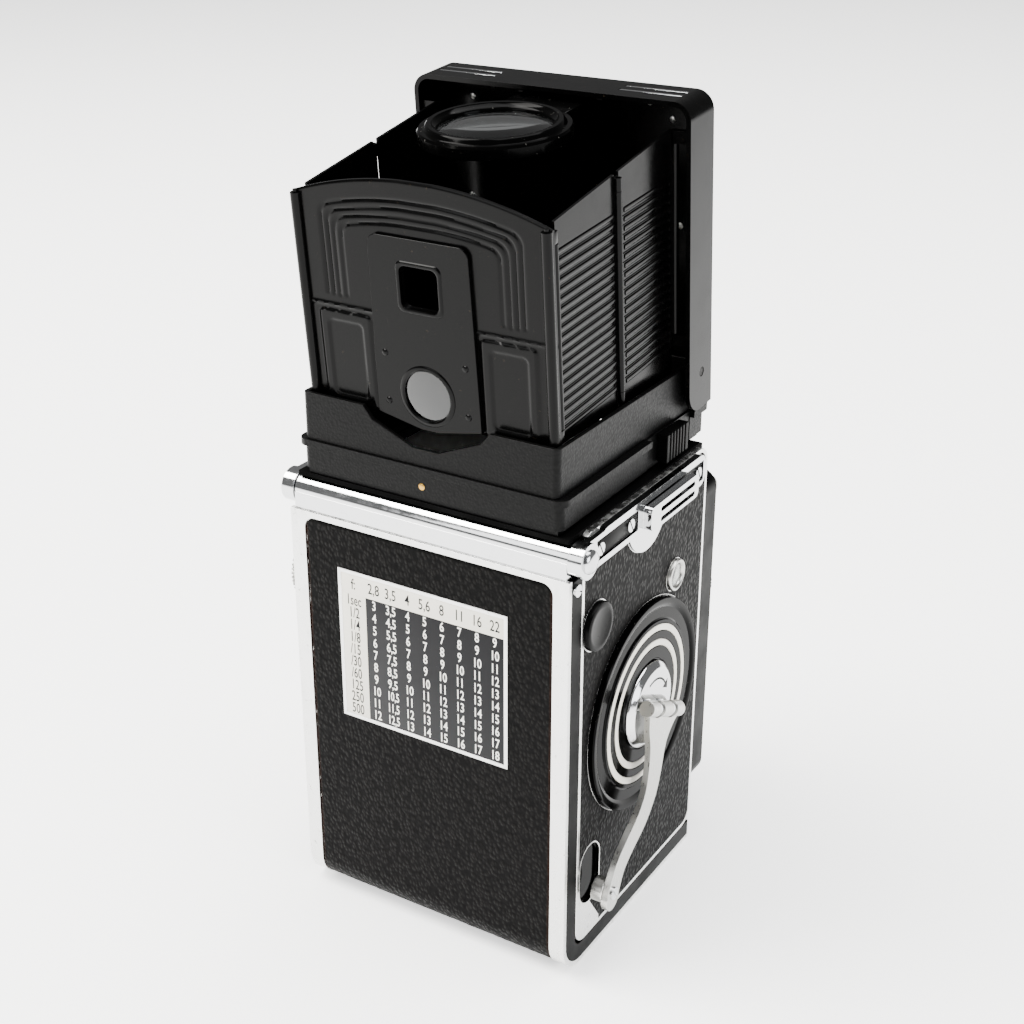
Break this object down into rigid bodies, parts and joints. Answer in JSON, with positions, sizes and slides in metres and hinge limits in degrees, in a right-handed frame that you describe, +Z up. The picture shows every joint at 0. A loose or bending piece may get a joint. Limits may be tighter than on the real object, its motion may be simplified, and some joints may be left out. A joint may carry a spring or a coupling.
{
  "type": "twin lens reflex camera",
  "caption": "Twin lens reflex film camera with an open folding hood, magnifier, winding crank, hinged back and a focusing lens board.",
  "frame": {"origin": "mouth of the tripod socket, in the middle of the underside", "axes": "+Z up, lenses towards -Y, back towards +Y, winding crank on the -X side"},
  "size_m": [0.0983, 0.1013, 0.2098],
  "materials": {
    "black_enamel": "gloss",
    "crinkle_paint": "crinkle",
    "satin_black": "satin",
    "black_casting": "satin",
    "black_channel": "satin",
    "polished_aluminium": "polished",
    "chrome": "polished",
    "satin_chrome": "satin",
    "leather": "grained",
    "glass": "polished",
    "mirror": "polished",
    "screen_glass": "ground",
    "steel": "satin",
    "spool_metal": "painted",
    "table": "printed",
    "cap_plastic": "gloss",
    "dial_plastic": "printed"
  },
  "bodies": {
    "body": {"body_casting": "black_casting", "crank_side_panel": "satin_chrome", "crank_side_leather": "leather", "focus_side_panel": "satin_chrome", "focus_side_leather": "leather", "front_panel": "leather", "strap_lugs": "chrome", "lug_screws": "chrome", "hinge_pins": "chrome", "port_cap": "cap_plastic", "counter_bezel": "chrome", "crank_plate": "black_enamel", "dial_rings": "chrome", "reflex_mirror": "mirror", "focusing_screen": "screen_glass", "screen_frame": "black_channel", "hood_base": "crinkle_paint", "hood_frame": "crinkle_paint"},
    "door": {"back_door": "polished_aluminium", "back_channel": "black_channel", "back_hinge_bar": "chrome", "back_leather": "leather", "exposure_table": "table", "tripod_bush": "steel"},
    "lens_group": {"lens_board": "satin_black", "board_cover": "black_enamel", "sync_socket": "satin_chrome", "lens_barrels": "satin_chrome", "viewing_lens": "glass", "taking_lens": "glass", "shutter_unit": "satin_black"},
    "hood_lid": {"hood_lid": "satin_black"},
    "rear_wall": {"rear_panel": "satin_black", "eye_plate": "satin_black", "eye_lens": "glass"},
    "magnifier": {"magnifier_arm": "black_enamel", "magnifier_lens": "glass"},
    "counter_dial": {"counter_dial": "dial_plastic"},
    "crank_hub": {"crank_hub": "chrome"},
    "crank_arm": {"crank_arm": "satin_chrome"},
    "crank_knob": {"crank_knob": "satin_chrome"},
    "pressure_plate": {"pressure_plate": "black_channel"},
    "door_latch": {"door_latch": "steel"},
    "film_roller_upper": {"film_roller_upper": "steel"},
    "film_roller_lower": {"film_roller_lower": "steel"},
    "supply_spool": {"supply_spool": "spool_metal"},
    "takeup_spool": {"takeup_spool": "spool_metal"},
    "focus_knob": {"focus_knob": "satin_chrome"},
    "supply_knob": {"supply_knob": "satin_chrome"},
    "takeup_knob": {"takeup_knob": "satin_chrome"},
    "aperture_wheel": {"aperture_wheel": "satin_black"},
    "shutter_wheel": {"shutter_wheel": "satin_black"},
    "release_button": {"release_button": "chrome"},
    "timer_lever": {"timer_lever": "chrome"},
    "hood_slide_crank": {"hood_slide_crank": "satin_black"},
    "hood_slide_focus": {"hood_slide_focus": "satin_black"},
    "leaf_crank_front": {"leaf_crank_front": "satin_black"},
    "leaf_crank_rear": {"leaf_crank_rear": "satin_black"},
    "leaf_focus_front": {"leaf_focus_front": "satin_black"},
    "leaf_focus_rear": {"leaf_focus_rear": "satin_black"}
  },
  "joints": [
    {"name": "crank_turn", "type": "hinge", "parent": "body", "child": "crank_hub", "pos_m": [-0.042, -0.003, 0.061], "axis": [1, 0, 0], "continuous": true},
    {"name": "crank_unfold", "type": "hinge", "parent": "crank_hub", "child": "crank_arm", "pos_m": [-0.0454, -0.003, 0.061], "axis": [0, 0.8949, 0.4462], "range_deg": [0, 180]},
    {"name": "knob_spin", "type": "hinge", "parent": "crank_arm", "child": "crank_knob", "pos_m": [-0.043, 0.0227, 0.0212], "axis": [1, 0, 0], "continuous": true},
    {"name": "counter_advance", "type": "hinge", "parent": "body", "child": "counter_dial", "pos_m": [-0.039, -0.0188, 0.0905], "axis": [1, 0, 0], "continuous": true},
    {"name": "takeup_turn", "type": "hinge", "parent": "body", "child": "takeup_spool", "pos_m": [0, 0.0195, 0.0885], "axis": [1, 0, 0], "continuous": true},
    {"name": "supply_turn", "type": "hinge", "parent": "body", "child": "supply_spool", "pos_m": [0, -0.012, 0.0152], "axis": [1, 0, 0], "continuous": true},
    {"name": "upper_roller_turn", "type": "hinge", "parent": "body", "child": "film_roller_upper", "pos_m": [0, 0.0286, 0.0772], "axis": [1, 0, 0], "continuous": true},
    {"name": "lower_roller_turn", "type": "hinge", "parent": "body", "child": "film_roller_lower", "pos_m": [0, 0.0286, 0.0108], "axis": [1, 0, 0], "continuous": true},
    {"name": "door_open", "type": "hinge", "parent": "body", "child": "door", "pos_m": [0, 0.031, 0.1158], "axis": [1, 0, 0], "range_deg": [0, 90]},
    {"name": "pressure_plate_push", "type": "slide", "parent": "door", "child": "pressure_plate", "axis": [0, 1, 0], "range_m": [0, 0.0004], "stiffness_N_per_m": 200, "springref_m": -0.0008},
    {"name": "latch_lift", "type": "hinge", "parent": "door", "child": "door_latch", "pos_m": [0, -0.0162, 0.0007], "axis": [1, 0, 0], "range_deg": [0, 90]},
    {"name": "lens_focus", "type": "slide", "parent": "body", "child": "lens_group", "axis": [0, -1, 0], "range_m": [0, 0.007]},
    {"name": "focus_turn", "type": "hinge", "parent": "body", "child": "focus_knob", "pos_m": [0.042, 0.003, 0.062], "axis": [1, 0, 0], "range_deg": [0, 271]},
    {"name": "supply_knob_pull", "type": "slide", "parent": "body", "child": "supply_knob", "axis": [1, 0, 0], "range_m": [0, 0.004]},
    {"name": "takeup_knob_pull", "type": "slide", "parent": "body", "child": "takeup_knob", "axis": [1, 0, 0], "range_m": [0, 0.004]},
    {"name": "aperture_set", "type": "hinge", "parent": "lens_group", "child": "aperture_wheel", "pos_m": [-0.024, -0.054, 0.0705], "axis": [0, 1, 0], "range_deg": [0, 120]},
    {"name": "shutter_set", "type": "hinge", "parent": "lens_group", "child": "shutter_wheel", "pos_m": [0.024, -0.054, 0.0705], "axis": [0, 1, 0], "range_deg": [0, 150]},
    {"name": "release_press", "type": "slide", "parent": "lens_group", "child": "release_button", "axis": [0, 1, 0], "range_m": [0, 0.003], "stiffness_N_per_m": 250, "springref_m": -0.001},
    {"name": "timer_set", "type": "hinge", "parent": "lens_group", "child": "timer_lever", "pos_m": [0.028, -0.051, 0.03], "axis": [0, 1, 0], "range_deg": [0, 50]},
    {"name": "hood_slide_crank_move", "type": "slide", "parent": "body", "child": "hood_slide_crank", "axis": [0, -1, 0], "range_m": [0, 0.004]},
    {"name": "hood_slide_focus_move", "type": "slide", "parent": "body", "child": "hood_slide_focus", "axis": [0, -1, 0], "range_m": [0, 0.004]},
    {"name": "hood_fold", "type": "hinge", "parent": "body", "child": "hood_lid", "pos_m": [0, -0.0322, 0.14069], "axis": [-1, 0, 0], "range_deg": [0, 40], "stiffness_Nm_per_rad": 0.1, "springref_deg": -51.57},
    {"name": "focus_front_fold", "type": "hinge", "parent": "hood_lid", "child": "leaf_focus_front", "pos_m": [0.033, -0.025, 0.17046], "axis": [0, 0.0898, 0.996], "range_deg": [0, 86.5]},
    {"name": "focus_rear_fold", "type": "hinge", "parent": "leaf_focus_front", "child": "leaf_focus_rear", "pos_m": [0.033, 0.00289, 0.16795], "axis": [0, 0.0898, 0.996], "range_deg": [-172.5, 0]},
    {"name": "rear_wall_fold", "type": "hinge", "parent": "leaf_focus_rear", "child": "rear_wall", "pos_m": [0.033, 0.03078, 0.16543], "axis": [0, 0.0898, 0.996], "range_deg": [0, 86.5]},
    {"name": "crank_front_fold", "type": "hinge", "parent": "hood_lid", "child": "leaf_crank_front", "pos_m": [-0.033, -0.025, 0.17046], "axis": [0, 0.0898, 0.996], "range_deg": [-86.5, 0]},
    {"name": "crank_rear_fold", "type": "hinge", "parent": "leaf_crank_front", "child": "leaf_crank_rear", "pos_m": [-0.033, 0.00289, 0.16795], "axis": [0, 0.0898, 0.996], "range_deg": [0, 172.5]},
    {"name": "magnifier_fold", "type": "hinge", "parent": "hood_lid", "child": "magnifier", "pos_m": [0, -0.02725, 0.20566], "axis": [-1, 0, 0], "range_deg": [0, 90], "stiffness_Nm_per_rad": 0.008, "springref_deg": -51.57}
  ],
  "couplings": [
    {"joint": "counter_advance", "follows": "crank_turn", "ratio": -0.071429},
    {"joint": "takeup_turn", "follows": "crank_turn", "ratio": 1},
    {"joint": "focus_turn", "follows": "lens_focus", "rad_per_m": 673.2},
    {"joint": "focus_front_fold", "follows": "hood_fold", "ratio": 2.15},
    {"joint": "focus_rear_fold", "follows": "hood_fold", "ratio": -4.3},
    {"joint": "rear_wall_fold", "follows": "hood_fold", "ratio": 2.15},
    {"joint": "crank_front_fold", "follows": "hood_fold", "ratio": -2.15},
    {"joint": "crank_rear_fold", "follows": "hood_fold", "ratio": 4.3}
  ]
}
